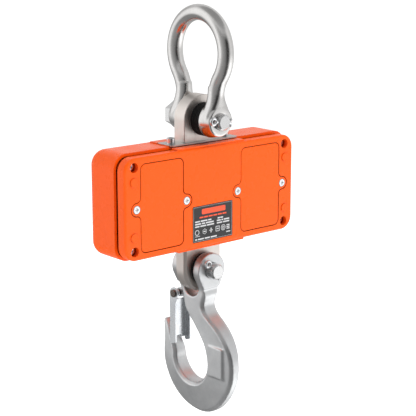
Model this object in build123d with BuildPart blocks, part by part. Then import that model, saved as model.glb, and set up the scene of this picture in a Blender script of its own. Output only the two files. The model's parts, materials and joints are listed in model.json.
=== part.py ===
from build123d import *
from math import cos, radians, sin, sqrt
import os

# Crane scale: a shackle on top, a load cell inside a two-part housing, and a latched clevis hook.
# Millimetres. +Z is up. The origin is where the crane's own hook bears, on the underside of the
# shackle's crown. X runs along the housing, +Y is the battery side and -Y is the display side.

# ---- driving dimensions -------------------------------------------------------------------
SHACKLE_STOCK = 16.0          # diameter of the shackle's bar
SHACKLE_REACH = 96.0          # crown's underside to the pin's axis
CROWN_R = 38.2                # bow's radius, on the bar's centreline
LEG_Y = 24.0                  # legs' distance from the bow's middle at the pin
BOW_Y = 3.0                   # bow's middle, which stands off the load cell's by the spacers
EYE_TO_BODY = 75.5            # upper pin to the housing's middle
BODY_TO_LOW_PIN = 77.0        # housing's middle to the lower pin
PIN_R = 8.0
BORE_R = 8.06                 # running fit on the pins

BODY_L, BODY_H = 222.0, 105.0  # housing's length and height
FRONT_Y, REAR_Y = -35.4, 22.5
SPLIT_Y = 8.0                 # front shell's edge
LIP_Y = 12.0                  # rear shell's outer edge, with the groove between the two
WALL = 3.0
REAR_L, REAR_H = 219.0, 100.0  # rear shell's length and height
CORNER_R = 15.0
FRONT_ROUND = 12.0            # round on the display side's edges
BOSS_X = 43.5                 # half width of the raised pads on the housing's top and bottom
BOSS_Z, REAR_BOSS_Z = 53.7, 51.8

CELL_R, CELL_T = 24.2, 16.0   # load cell's eye radius and thickness
COVER_X = (38.0, 90.0)        # battery cover's inner and outer edge
COVER_H, COVER_T = 86.0, 1.5
COVER_SCREW_X = (33.5, 95.0)
CORNER_SCREW = (97.7, 40.9)
REST_PAD = (98.4, 26.8)
PLATE_L, PLATE_W, PLATE_T = 86.0, 22.0, 1.5
PLATE_SCREW_X = 35.0
PLATE_SEAT_Z = 51.5           # floor of the plates' recesses in the raised pads

HOOK_EAR_R = 17.5
HOOK_EAR_Y = (12.0, 21.0)
LATCH_PIVOT = (-26.8, -33.0)   # about the lower pin
BUTTON_TRAVEL, SWITCH_T = 1.2, 2.6

# ---- places worked out from them ------------------------------------------------------------
PIN_Z = -SHACKLE_REACH
BODY_Z = PIN_Z - EYE_TO_BODY
LOW_PIN_Z = BODY_Z - BODY_TO_LOW_PIN
CELL_HALF = CELL_T / 2
PLATE_GAP = 0.8                           # rubber seal under each plate
BOARD_Y = FRONT_Y + 19.1                  # circuit board's rear face
BOARD_T = 1.6
BATTERY_X = sum(COVER_X) / 2
BUTTON_X = {"power_button": 54.0, "unit_button": 18.0, "hold_button": -18.0, "zero_button": -54.0}
BUTTON_Z = BODY_Z - 26.0
WINDOW_Z = BODY_Z + 12.0
CELL_PITCH, CELL_D, CELL_LEN = 15.2, 14.2, 49.5

os.makedirs("parts", exist_ok=True)


def save(builder, name):
    """Label one finished sub-part and write it under its node's name."""
    builder.part.label = name
    export_step(builder.part, "parts/" + name + ".step")


def depth_plane(y, z=BODY_Z):
    """A plane across the housing at depth y. Its own x is X, its own y is Z, and it faces -Y."""
    return Plane(origin=(0, y, z), x_dir=(1, 0, 0), z_dir=(0, -1, 0))


def side_plane(x=0.0, z=BODY_Z):
    """A plane facing +X. Its own x is Y and its own y is Z."""
    return Plane(origin=(x, 0, z), x_dir=(0, 1, 0), z_dir=(1, 0, 0))


def level_plane(z, x=0.0):
    """A level plane at height z, centred on x."""
    return Plane(origin=(x, 0, z), x_dir=(1, 0, 0), z_dir=(0, 0, 1))


# ---- shackle ----------------------------------------------------------------------------------
def bow_line():
    """The bar's centreline over one leg, the crown and the other leg."""
    turn_z = 22.0                         # height over the pin where the legs start to spread
    crown_z = SHACKLE_REACH + SHACKLE_STOCK / 2 - CROWN_R
    rise = crown_z - turn_z
    spread_r = (LEG_Y**2 + rise**2 - CROWN_R**2) / (2 * (CROWN_R - LEG_Y))
    slope = rise / (CROWN_R + spread_r)
    join_y = CROWN_R * sqrt(1 - slope**2)
    join_z = crown_z - CROWN_R * slope
    for side in (1, -1):
        foot = (BOW_Y + side * LEG_Y, 0)
        knee = (BOW_Y + side * LEG_Y, turn_z)
        Line(foot, knee)
        RadiusArc(knee, (BOW_Y + side * join_y, join_z), side * spread_r)
    ThreePointArc((BOW_Y + join_y, join_z), (BOW_Y, crown_z + CROWN_R), (BOW_Y - join_y, join_z))


def make_shackle_bow():
    ear_r, face_r, ear_half, neck_half = 17.0, 14.6, SHACKLE_STOCK / 2, 5.0
    with BuildPart() as bow:
        for side in (1, -1):
            inner, outer = LEG_Y - ear_half, LEG_Y + ear_half
            with BuildSketch(side_plane(z=PIN_Z)):
                Polygon((BOW_Y + side * inner, 0), (BOW_Y + side * inner, ear_r),
                        (BOW_Y + side * (inner + 4.0), ear_r), (BOW_Y + side * outer, face_r),
                        (BOW_Y + side * outer, 0), align=None)
            revolve(axis=Axis((0, 0, PIN_Z), (0, 1, 0)))
        fillet(bow.edges().filter_by(GeomType.CIRCLE), 1.6)
        with BuildLine(side_plane(z=PIN_Z)):
            bow_line()
        with BuildSketch(level_plane(PIN_Z)):
            with Locations((0, BOW_Y + LEG_Y)):
                Circle(SHACKLE_STOCK / 2)
        sweep()
        for side in (1, -1):
            with BuildSketch(depth_plane(BOW_Y + side * LEG_Y + neck_half, PIN_Z)):
                with BuildLine():
                    Polyline((-13.0, 8.4), (13.0, 8.4), (9.2, 16.5), (6.6, 25.0), (-6.6, 25.0),
                             (-9.2, 16.5), close=True)
                make_face()
            extrude(amount=2 * neck_half)
        with BuildSketch(depth_plane(60.0, PIN_Z)):
            Circle(PIN_R + 0.05)
        extrude(amount=120.0, mode=Mode.SUBTRACT)
    save(bow, "shackle_bow")


def make_pin(name, z, y_end, y_head, head_r, head_t, hole_y, hole_turn, hexagon=False):
    """A clevis pin along Y: a round or hexagon head on the display side, a split-pin hole near its end."""
    with BuildPart() as pin:
        with BuildSketch(depth_plane(y_end, z)):
            Circle(PIN_R)
        extrude(amount=y_end - y_head)
        chamfer(pin.faces().sort_by(Axis.Y)[-1].edges(), 1.6)
        with BuildSketch(depth_plane(y_head, z)):
            if hexagon:
                RegularPolygon(head_r, 6, rotation=30)
            else:
                Circle(head_r)
        extrude(amount=head_t)
        end = pin.faces().sort_by(Axis.Y)[0].edges()
        chamfer(end, 1.4) if hexagon else fillet(end, head_t * 0.45)
        with BuildSketch(split_pin_plane(z, hole_y, hole_turn)):
            Circle(1.9)
        extrude(amount=20.0, both=True, mode=Mode.SUBTRACT)
    save(pin, name)


def split_pin_plane(z, y, turn):
    """A plane square to a split pin that crosses its clevis pin at depth y, turned about Y."""
    along = (sin(radians(turn)), 0, cos(radians(turn)))
    return Plane(origin=(0, y, z), x_dir=(0, 1, 0), z_dir=along)


def make_split_pin(name, z, y, turn):
    """A split pin: an eye, a doubled shank through the clevis pin, and two legs bent apart."""
    wire_r, eye_r, reach = 1.4, 3.0, PIN_R + 1.2
    place = split_pin_plane(z, y, turn)
    with BuildPart() as cotter:
        with BuildSketch(place):
            Circle(1.75)
        extrude(amount=reach, both=True)
        eye = Plane(origin=place.from_local_coords(Vector(0, 0, reach + eye_r)),
                    x_dir=place.z_dir, z_dir=place.x_dir)
        with Locations(eye):
            Torus(eye_r, wire_r)
        for side in (1, -1):
            tip = place.from_local_coords(Vector(0, side * 3.4, -reach - 1.6))
            root = place.from_local_coords(Vector(0, side * 0.35, -reach + 1.0))
            with BuildLine():
                leg = Line(root, tip)
            with BuildSketch(Plane(origin=leg @ 0, z_dir=leg % 0)):
                Circle(wire_r)
            sweep(path=leg)
    save(cotter, name)


def make_spacers(name, z, near_y, far_y, r):
    """A ribbed spacer on each side of the load cell's eye, out to near_y and to far_y."""
    groove, gap = 0.7, 0.15
    with BuildPart() as spacers:
        for y, width in ((near_y, near_y - CELL_HALF - gap), (-CELL_HALF - gap, -far_y - CELL_HALF - gap)):
            with BuildSketch(depth_plane(y, z)):
                Circle(r)
                Circle(PIN_R + 0.15, mode=Mode.SUBTRACT)
            extrude(amount=width)
            count = round(width / 2.2)
            for rib in range(1, count):
                with BuildSketch(depth_plane(y - width * rib / count + groove / 2, z)):
                    Circle(r + 1)
                    Circle(r - groove, mode=Mode.SUBTRACT)
                extrude(amount=groove, mode=Mode.SUBTRACT)
    save(spacers, name)


# ---- load cell --------------------------------------------------------------------------------
def make_load_cell():
    """One bar with an eye at each end, a waist inside the housing and gauge pockets on its faces."""
    waist_x, waist_z, pocket = 19.0, 38.0, 2.2
    with BuildPart() as cell:
        with BuildSketch(depth_plane(CELL_HALF)):
            with Locations((0, EYE_TO_BODY), (0, -BODY_TO_LOW_PIN)):
                Circle(CELL_R)
            with Locations((0, (EYE_TO_BODY + waist_z) / 2)):
                Rectangle(2 * CELL_R, EYE_TO_BODY - waist_z)
            with Locations((0, -(BODY_TO_LOW_PIN + waist_z) / 2)):
                Rectangle(2 * CELL_R, BODY_TO_LOW_PIN - waist_z)
            Rectangle(2 * waist_x, 2 * waist_z)
        extrude(amount=CELL_T)
        low = cell.edges().filter_by(lambda e: e.center().Z < BODY_Z - waist_z - 2)
        rim = low.filter_by(lambda e: abs(abs(e.center().Y) - CELL_HALF) < 0.01)
        chamfer(rim, 2.5)
        top = cell.edges().filter_by(lambda e: e.center().Z > BODY_Z + waist_z + 2)
        chamfer(top.filter_by(lambda e: abs(abs(e.center().Y) - CELL_HALF) < 0.01), 0.6)
        with BuildSketch(depth_plane(CELL_HALF + 1)):
            with Locations((0, EYE_TO_BODY), (0, -BODY_TO_LOW_PIN)):
                Circle(BORE_R)
            with Locations((0, 32.0), (0, -32.0)):
                Circle(2.3)
            Circle(9.0)
        extrude(amount=CELL_T + 2, mode=Mode.SUBTRACT)
        for y in (CELL_HALF, -CELL_HALF + pocket):
            with BuildSketch(depth_plane(y)):
                RectangleRounded(30.0, 46.0, 4.0)
                with Locations((0, 32.0), (0, -32.0)):
                    Circle(6.0, mode=Mode.SUBTRACT)
            extrude(amount=pocket, mode=Mode.SUBTRACT)
    save(cell, "load_cell")


def make_gauges():
    """Four foil strain gauges, bonded on the pocket floors beside the middle hole."""
    floor = CELL_HALF - 2.2
    with BuildPart() as gauges:
        for y in (floor + 0.2, -floor):
            with BuildSketch(depth_plane(y)):
                with Locations((0, 13.5), (0, -13.5)):
                    Rectangle(9.0, 6.0)
            extrude(amount=0.2)
    save(gauges, "strain_gauges")


def make_pocket_covers():
    """Thin plates that seal the two gauge pockets."""
    with BuildPart() as covers:
        for y in (CELL_HALF, -CELL_HALF + 1.0):
            with BuildSketch(depth_plane(y)):
                RectangleRounded(29.6, 45.6, 3.8)
                with Locations((0, 32.0), (0, -32.0)):
                    Circle(6.4, mode=Mode.SUBTRACT)
            extrude(amount=1.0)
    save(covers, "gauge_pocket_covers")


# ---- housing ----------------------------------------------------------------------------------
def corner_spots(spot):
    x, z = spot
    return [(x, z), (-x, z), (x, -z), (-x, -z)]


def battery_outline(grow=0.0):
    """Both battery covers' outlines: rounded rectangles with a half-round lobe at each screw."""
    lobe_r, hollow_r = 6.3 + grow, 5.0 - grow
    for side in (1, -1):
        with Locations((side * BATTERY_X, 0)):
            RectangleRounded(COVER_X[1] - COVER_X[0] + 2 * grow, COVER_H + 2 * grow, 5.5 + grow)
        for edge_x, screw_x, out in zip(COVER_X, COVER_SCREW_X, (-1, 1)):
            edge = edge_x + out * grow
            offset = abs(screw_x - edge) - hollow_r
            rise = sqrt((lobe_r + hollow_r)**2 - offset**2)
            share = lobe_r / (lobe_r + hollow_r)
            touch = (side * (screw_x - out * offset * share), rise * share)
            with Locations((side * screw_x, 0)):
                Circle(lobe_r)
            with Locations((0, 0)):
                Polygon((side * edge, rise), touch, (touch[0], -touch[1]), (side * edge, -rise), align=None)
            with Locations((side * (edge + out * hollow_r), rise), (side * (edge + out * hollow_r), -rise)):
                Circle(hollow_r, mode=Mode.SUBTRACT)


def make_front_shell():
    depth = SPLIT_Y - FRONT_Y
    wall_in = FRONT_Y + 3.5
    with BuildPart() as shell:
        with BuildSketch(depth_plane(SPLIT_Y)):
            RectangleRounded(BODY_L, BODY_H, CORNER_R)
        extrude(amount=depth)
        fillet(shell.faces().sort_by(Axis.Y)[0].edges(), FRONT_ROUND)
        with BuildSketch(depth_plane(SPLIT_Y)):
            RectangleRounded(2 * BOSS_X, 2 * BOSS_Z, 1.0)
        extrude(amount=depth - FRONT_ROUND - 1.0)
        add(front_cavity(wall_in), mode=Mode.SUBTRACT)
        with BuildSketch(depth_plane(SPLIT_Y)):
            with Locations(*corner_spots(CORNER_SCREW)):
                Circle(5.2)
        extrude(amount=depth - 3.0)
        with BuildSketch(depth_plane(BOARD_Y - BOARD_T)):
            with Locations(*corner_spots((82.0, 36.0))):
                Circle(3.4)
        extrude(amount=BOARD_Y - BOARD_T - wall_in)
        with BuildSketch(depth_plane(SPLIT_Y + 1)):
            with Locations(*corner_spots(CORNER_SCREW)):
                Circle(2.1)
        extrude(amount=30.0, mode=Mode.SUBTRACT)
        with BuildSketch(depth_plane(BOARD_Y)):
            with Locations(*corner_spots((82.0, 36.0))):
                Circle(1.35)
        extrude(amount=9.0, mode=Mode.SUBTRACT)
        add(display_side_cuts(wall_in), mode=Mode.SUBTRACT)
        add(cell_passages(), mode=Mode.SUBTRACT)
    save(shell, "front_shell")


def front_cavity(wall_in):
    """The front shell's inside, rounded like its outside."""
    with BuildPart() as tool:
        with BuildSketch(depth_plane(SPLIT_Y)):
            RectangleRounded(BODY_L - 2 * WALL, BODY_H - 2 * WALL, CORNER_R - WALL)
        extrude(amount=SPLIT_Y - wall_in)
        fillet(tool.faces().sort_by(Axis.Y)[0].edges(), FRONT_ROUND - WALL)
    return tool.part


def display_side_cuts(wall_in):
    """The bezel's recess, the window's stepped opening, and holes for the buttons and the lens."""
    with BuildPart() as tool:
        with BuildSketch(depth_plane(FRONT_Y + 1.0)):
            RectangleRounded(188.4, 78.4, 6.2)
        extrude(amount=2.0)
        with BuildSketch(depth_plane(FRONT_Y + 2.8, WINDOW_Z)):
            RectangleRounded(150.4, 44.4, 3.2)
        extrude(amount=4.0)
        with BuildSketch(depth_plane(wall_in + 0.5, WINDOW_Z)):
            RectangleRounded(142.0, 36.0, 2.0)
        extrude(amount=5.0)
        with BuildSketch(depth_plane(wall_in + 0.5, BUTTON_Z)):
            with Locations(*[(x, 0) for x in BUTTON_X.values()]):
                Circle(6.3)
            with Locations((84.0, 0)):
                Circle(3.0)
        extrude(amount=5.0)
    return tool.part


def cell_passages():
    """Passages for the load cell, recesses for the two plates, and their screws' pilot holes."""
    with BuildPart() as tool:
        with BuildSketch(level_plane(BODY_Z)):
            Rectangle(2 * CELL_R + 0.6, CELL_T + 0.6)
            with Locations((PLATE_SCREW_X, 0), (-PLATE_SCREW_X, 0)):
                Circle(2.1)
        extrude(amount=BOSS_Z + 5, both=True)
        for side in (1, -1):
            with BuildSketch(level_plane(BODY_Z + side * PLATE_SEAT_Z)):
                Rectangle(PLATE_L + 0.6, PLATE_W + 0.6)
            extrude(amount=side * 8.0)
    return tool.part


def make_rear_shell():
    length, height, radius = REAR_L, REAR_H, CORNER_R - 1.5
    groove = 2.6
    inner_y = REAR_Y - WALL
    with BuildPart() as shell:
        with BuildSketch(depth_plane(REAR_Y)):
            RectangleRounded(length, height, radius)
        extrude(amount=REAR_Y - LIP_Y)
        fillet(shell.faces().sort_by(Axis.Y)[-1].edges(), 2.2)
        with BuildSketch(depth_plane(REAR_Y - 2.0)):
            RectangleRounded(2 * BOSS_X, 2 * REAR_BOSS_Z, 1.2)
        extrude(amount=REAR_Y - 2.0 - LIP_Y)
        with BuildSketch(depth_plane(LIP_Y)):
            RectangleRounded(length - 2 * groove, height - 2 * groove, radius - groove)
        extrude(amount=LIP_Y - SPLIT_Y - 1.0)
        with BuildSketch(depth_plane(inner_y)):
            RectangleRounded(length - 10.4, height - 10.4, radius - 5.2)
        extrude(amount=inner_y - SPLIT_Y, mode=Mode.SUBTRACT)
        with BuildSketch(depth_plane(inner_y)):
            with Locations(*corner_spots(CORNER_SCREW)):
                Circle(6.4)
        extrude(amount=inner_y - SPLIT_Y - 1.0)
        with BuildSketch(depth_plane(inner_y)):
            with Locations((0, 32.0), (0, -32.0)):
                Circle(4.5)
        extrude(amount=inner_y - CELL_HALF)
        with BuildSketch(depth_plane(REAR_Y + 1.1)):
            with Locations(*corner_spots(REST_PAD)):
                Circle(4.3)
        extrude(amount=2.1)
        add(rear_face_cuts(inner_y), mode=Mode.SUBTRACT)
        add(cell_passages(), mode=Mode.SUBTRACT)
    save(shell, "rear_shell")


def rear_face_cuts(inner_y):
    """Battery openings, cover seats, screw holes and the label's shallow seat."""
    with BuildPart() as tool:
        with BuildSketch(depth_plane(REAR_Y + 2)):
            battery_outline(0.7)
        extrude(amount=2 + COVER_T + 0.6)
        with BuildSketch(depth_plane(REAR_Y)):
            with Locations((BATTERY_X, 0), (-BATTERY_X, 0)):
                RectangleRounded(46.0, 80.0, 3.0)
        extrude(amount=WALL + 1)
        with BuildSketch(depth_plane(REAR_Y)):
            with Locations(*[(side * x, 0) for side in (1, -1) for x in COVER_SCREW_X]):
                Circle(1.7)
        extrude(amount=WALL + 4)
        with BuildSketch(depth_plane(REAR_Y + 2)):
            with Locations(*corner_spots(CORNER_SCREW)):
                Circle(4.75)
        extrude(amount=10.0)
        with BuildSketch(depth_plane(inner_y)):
            with Locations(*corner_spots(CORNER_SCREW)):
                Circle(2.3)
        extrude(amount=14.0)
        with BuildSketch(depth_plane(CELL_HALF + 8.0)):
            with Locations((0, 32.0), (0, -32.0)):
                Circle(2.1)
        extrude(amount=10.0)
        with BuildSketch(depth_plane(REAR_Y + 1)):
            with Locations((0, -26.2)):
                RectangleRounded(52.4, 36.9, 1.4)
        extrude(amount=1.3)
    return tool.part


def make_shell_gasket():
    """The rubber cord between the two shells, at the bottom of the groove."""
    length, height, radius = REAR_L - 5.4, REAR_H - 5.4, CORNER_R - 4.2
    with BuildPart() as gasket:
        with BuildSketch(depth_plane(SPLIT_Y + 1.0)):
            RectangleRounded(length, height, radius)
            RectangleRounded(length - 4.4, height - 4.4, radius - 2.2, mode=Mode.SUBTRACT)
        extrude(amount=1.0)
        with BuildSketch(depth_plane(SPLIT_Y + 1.0)):
            with Locations(*corner_spots(CORNER_SCREW)):
                Circle(2.6)
        extrude(amount=1.0, mode=Mode.SUBTRACT)
    save(gasket, "shell_gasket")


def cross_recesses(y_face, spots, size, depth):
    """Cross recesses for screw heads that face +Y."""
    with BuildPart() as tool:
        with BuildSketch(depth_plane(y_face + 0.5)):
            with Locations(*spots):
                Rectangle(size, size / 4)
                Rectangle(size / 4, size)
        extrude(amount=0.5 + depth)
    return tool.part


def make_housing_screws():
    """Four long screws from the recessed corner holes into the front shell."""
    spots = corner_spots(CORNER_SCREW)
    seat_y = REAR_Y - 8.0
    with BuildPart() as screws:
        with BuildSketch(depth_plane(seat_y + 3.0)):
            with Locations(*spots):
                Circle(3.9)
        extrude(amount=3.0)
        fillet(screws.edges().group_by(Axis.Y)[-1], 1.2)
        with BuildSketch(depth_plane(seat_y)):
            with Locations(*spots):
                Circle(2.0)
        extrude(amount=34.0)
        add(cross_recesses(seat_y + 3.0, spots, 4.2, 1.8), mode=Mode.SUBTRACT)
    save(screws, "housing_screws")


def make_battery_cover(name, side):
    with BuildPart() as cover:
        with BuildSketch(depth_plane(REAR_Y)):
            battery_outline()
            with Locations((-side * BATTERY_X, 0)):
                Rectangle(BODY_L / 2 + 20, BODY_H, mode=Mode.SUBTRACT)
        extrude(amount=COVER_T)
        fillet(cover.faces().sort_by(Axis.Y)[-1].edges(), 0.5)
        with Locations(depth_plane(REAR_Y)):
            with Locations(*[(side * x, 0) for x in COVER_SCREW_X]):
                CounterSinkHole(2.2, 4.3, COVER_T, 82)
    save(cover, name)


def make_cover_gaskets():
    with BuildPart() as gaskets:
        for side in (1, -1):
            with BuildSketch(depth_plane(REAR_Y - COVER_T)):
                with Locations((side * BATTERY_X, 0)):
                    RectangleRounded(50.4, 84.4, 4.5)
                    RectangleRounded(46.6, 80.6, 3.2, mode=Mode.SUBTRACT)
            extrude(amount=0.6)
    save(gaskets, "battery_cover_gaskets")


def make_cover_screws():
    """Four countersunk cross-head screws that hold the battery covers."""
    spots = [(side * x, 0) for side in (1, -1) for x in COVER_SCREW_X]
    with BuildPart() as screws:
        for x, z in spots:
            with BuildSketch(side_plane(x)):
                with BuildLine():
                    Polyline((REAR_Y + 0.15, 0), (REAR_Y + 0.15, 3.7), (REAR_Y - 0.15, 4.05),
                             (REAR_Y - 2.0, 1.5), (REAR_Y - 6.0, 1.5), (REAR_Y - 6.0, 0), close=True)
                make_face()
            revolve(axis=Axis((x, 0, BODY_Z), (0, 1, 0)))
        add(cross_recesses(REAR_Y + 0.15, spots, 4.0, 1.2), mode=Mode.SUBTRACT)
    save(screws, "cover_screws")


def make_plate(name, side):
    """A stainless plate around the load cell, on the raised pad at the top or the bottom."""
    low = BODY_Z + side * (PLATE_SEAT_Z + PLATE_GAP)
    with BuildPart() as plate:
        with BuildSketch(level_plane(low)):
            RectangleRounded(PLATE_L, PLATE_W, 2.0)
            Rectangle(2 * CELL_R + 0.4, CELL_T + 0.4, mode=Mode.SUBTRACT)
            with Locations((PLATE_SCREW_X, 0), (-PLATE_SCREW_X, 0)):
                Circle(2.3, mode=Mode.SUBTRACT)
        extrude(amount=side * PLATE_T)
        if side < 0:
            with Locations(Plane(origin=(0, 0, low - PLATE_T), z_dir=(0, 0, -1))):
                with Locations((PLATE_SCREW_X, 0), (-PLATE_SCREW_X, 0)):
                    CounterSinkHole(2.3, 4.1, PLATE_T, 90)
    save(plate, name)


def make_plate_seals():
    """Rubber pads that close the housing around the load cell, under the two plates."""
    with BuildPart() as seals:
        for side in (1, -1):
            with BuildSketch(level_plane(BODY_Z + side * PLATE_SEAT_Z)):
                RectangleRounded(PLATE_L - 2, PLATE_W - 2, 2.0)
                Rectangle(2 * CELL_R + 0.2, CELL_T + 0.2, mode=Mode.SUBTRACT)
                with Locations((PLATE_SCREW_X, 0), (-PLATE_SCREW_X, 0)):
                    Circle(2.3, mode=Mode.SUBTRACT)
            extrude(amount=side * PLATE_GAP)
    save(seals, "plate_seals")


def make_plate_screws():
    """Socket-head cap screws in the top plate and flush countersunk screws in the bottom one."""
    head_r, head_t = 4.25, 5.5
    face = PLATE_SEAT_Z + PLATE_GAP + PLATE_T
    spots = [(PLATE_SCREW_X, 0), (-PLATE_SCREW_X, 0)]
    with BuildPart() as screws:
        with BuildSketch(level_plane(BODY_Z + face)):
            with Locations(*spots):
                Circle(head_r)
        extrude(amount=head_t)
        chamfer(screws.edges().group_by(Axis.Z)[-1], 0.5)
        with BuildSketch(level_plane(BODY_Z + face + head_t - 2.6)):
            with Locations(*spots):
                RegularPolygon(2.3, 6)
        extrude(amount=4.0, mode=Mode.SUBTRACT)
        for side, head in ((1, 0.0), (-1, 0.1)):
            with BuildSketch(level_plane(BODY_Z + side * (face - head))):
                with Locations(*spots):
                    Circle(2.0)
            extrude(amount=-side * 9.0)
        with BuildSketch(level_plane(BODY_Z - face + 0.1)):
            with Locations(*spots):
                Circle(3.9)
        extrude(amount=1.35, taper=45)
    save(screws, "plate_screws")


def make_cell_screws():
    """Two screws through the load cell's waist into the rear shell's posts."""
    with BuildPart() as screws:
        with BuildSketch(depth_plane(-CELL_HALF)):
            with Locations((0, 32.0), (0, -32.0)):
                Circle(4.0)
        extrude(amount=3.0)
        with BuildSketch(depth_plane(CELL_HALF + 6.0)):
            with Locations((0, 32.0), (0, -32.0)):
                Circle(2.0)
        extrude(amount=CELL_T + 6.5)
    save(screws, "cell_screws")


# ---- battery side -------------------------------------------------------------------------------
def make_tray(name, side):
    """An open tray behind a battery opening, with two ribs that hold the cells' ends."""
    top_y, floor_y = REAR_Y - WALL, 2.4
    with BuildPart() as tray:
        with BuildSketch(depth_plane(top_y)):
            with Locations((side * BATTERY_X, 0)):
                RectangleRounded(49.0, 83.0, 4.0)
        extrude(amount=top_y - floor_y)
        with BuildSketch(depth_plane(top_y)):
            with Locations((side * BATTERY_X, 0)):
                RectangleRounded(46.0, 80.0, 3.0)
        extrude(amount=top_y - floor_y - 1.5, mode=Mode.SUBTRACT)
        with BuildSketch(depth_plane(14.0)):
            with Locations((side * BATTERY_X, 31.0), (side * BATTERY_X, -31.0)):
                Rectangle(46.0, 1.5)
        extrude(amount=14.0 - floor_y - 1.0)
    save(tray, name)


def battery_places(side):
    return [(side * BATTERY_X + step * CELL_PITCH, 11.2) for step in (-1, 0, 1)]


def make_cells(name, side):
    """Three AA cells, side by side, with their raised ends up."""
    low = BODY_Z - 24.2
    with BuildPart() as cells:
        with BuildSketch(level_plane(low)):
            with Locations(*battery_places(side)):
                Circle(CELL_D / 2)
        extrude(amount=CELL_LEN)
        fillet(cells.edges().filter_by(GeomType.CIRCLE), 0.7)
        with BuildSketch(level_plane(low + CELL_LEN)):
            with Locations(*battery_places(side)):
                Circle(2.7)
        extrude(amount=1.2)
    save(cells, name)


def make_contacts():
    """Plates at both ends of each battery bay."""
    with BuildPart() as plates:
        for z, thick in ((BODY_Z + 27.0, 0.4), (BODY_Z - 30.2, 0.4)):
            with BuildSketch(level_plane(z)):
                for side in (1, -1):
                    with Locations(*battery_places(side)):
                        Rectangle(11.0, 11.0)
            extrude(amount=thick)
    save(plates, "battery_contacts")


def make_contact_springs():
    """A coil under each cell's flat end."""
    low = BODY_Z - 29.2
    with BuildPart() as springs:
        for side in (1, -1):
            for x, y in battery_places(side):
                with BuildLine():
                    coil = Helix(pitch=1.5, height=4.2, radius=3.6, center=(x, y, low))
                with BuildSketch(Plane(origin=coil @ 0, z_dir=coil % 0)):
                    Circle(0.35)
                sweep(path=coil)
    save(springs, "contact_springs")


def make_label():
    """The rating plate, in its shallow seat on the battery side."""
    with BuildPart() as label:
        with BuildSketch(depth_plane(REAR_Y + 0.2)):
            with Locations((0, -26.2)):
                RectangleRounded(51.6, 36.1, 1.0)
        extrude(amount=0.5)
    save(label, "rating_label")


# ---- electronics ----------------------------------------------------------------------------------
def make_board():
    with BuildPart() as board:
        with BuildSketch(depth_plane(BOARD_Y)):
            Rectangle(178.0, 84.0)
            with Locations(*corner_spots((82.0, 36.0))):
                Circle(1.6, mode=Mode.SUBTRACT)
        extrude(amount=BOARD_T)
    save(board, "main_board")


def make_board_parts():
    """Chips, a connector row and power parts on the board's rear face."""
    blocks = [(0, 27, 14, 14, 1.6), (-34, 22, 10, 8, 1.8), (38, -6, 12, 6, 5.0),
              (-44, -8, 8, 8, 4.0), (60, 24, 9, 6, 5.0), (-62, -24, 9, 6, 5.0), (30, 24, 7, 5, 1.5)]
    with BuildPart() as parts:
        for x, z, width, height, tall in blocks:
            with BuildSketch(depth_plane(BOARD_Y + tall)):
                with Locations((x, z)):
                    Rectangle(width, height)
            extrude(amount=tall)
    save(parts, "board_components")


def make_board_screws():
    with BuildPart() as screws:
        with BuildSketch(depth_plane(BOARD_Y + 1.6)):
            with Locations(*corner_spots((82.0, 36.0))):
                Circle(2.7)
        extrude(amount=1.6)
        with BuildSketch(depth_plane(BOARD_Y)):
            with Locations(*corner_spots((82.0, 36.0))):
                Circle(1.25)
        extrude(amount=8.0)
    save(screws, "board_screws")


def make_buzzer():
    with BuildPart() as buzzer:
        with BuildSketch(depth_plane(BOARD_Y + 7.0)):
            with Locations((-62.0, 24.0)):
                Circle(6.0)
                Circle(1.2, mode=Mode.SUBTRACT)
        extrude(amount=7.0)
    save(buzzer, "buzzer")


def digit_spots():
    return [(step * 26.0, 0) for step in (-2, -1, 0, 1, 2)]


def make_display():
    """The display's housing, with one pocket for each of its digits."""
    front = FRONT_Y + 5.0
    with BuildPart() as display:
        with BuildSketch(depth_plane(BOARD_Y - BOARD_T, WINDOW_Z)):
            Rectangle(134.0, 34.0)
        extrude(amount=BOARD_Y - BOARD_T - front)
        with BuildSketch(depth_plane(front + 1.0, WINDOW_Z)):
            with Locations(*digit_spots()):
                Rectangle(23.0, 31.0)
        extrude(amount=3.0, mode=Mode.SUBTRACT)
    save(display, "display_module")


def make_digits():
    """Seven light bars and a point for each digit, standing on the floor of its pocket."""
    half_w, half_h, bar = 6.5, 11.0, 2.6
    front = FRONT_Y + 5.0
    across = [(0, z) for z in (half_h, 0, -half_h)]
    upright = [(x, z) for x in (half_w, -half_w) for z in (half_h / 2, -half_h / 2)]
    with BuildPart() as digits:
        with BuildSketch(depth_plane(front + 1.0, WINDOW_Z)):
            for dx, dz in digit_spots():
                with Locations(*[(dx + x, dz + z) for x, z in across]):
                    Rectangle(2 * half_w - bar - 0.8, bar)
                with Locations(*[(dx + x, dz + z) for x, z in upright]):
                    Rectangle(bar, half_h - bar - 0.2)
                with Locations((dx - half_w - 3.4, dz - half_h)):
                    Circle(1.2)
        extrude(amount=0.7)
    save(digits, "display_digits")


def make_window():
    with BuildPart() as window:
        with BuildSketch(depth_plane(FRONT_Y + 2.3, WINDOW_Z)):
            RectangleRounded(150.0, 44.0, 3.0)
        extrude(amount=1.2)
    save(window, "display_window")


def make_window_gasket():
    with BuildPart() as gasket:
        with BuildSketch(depth_plane(FRONT_Y + 2.8, WINDOW_Z)):
            RectangleRounded(150.0, 44.0, 3.0)
            RectangleRounded(142.4, 36.4, 2.0, mode=Mode.SUBTRACT)
        extrude(amount=0.5)
    save(gasket, "window_gasket")


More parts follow.
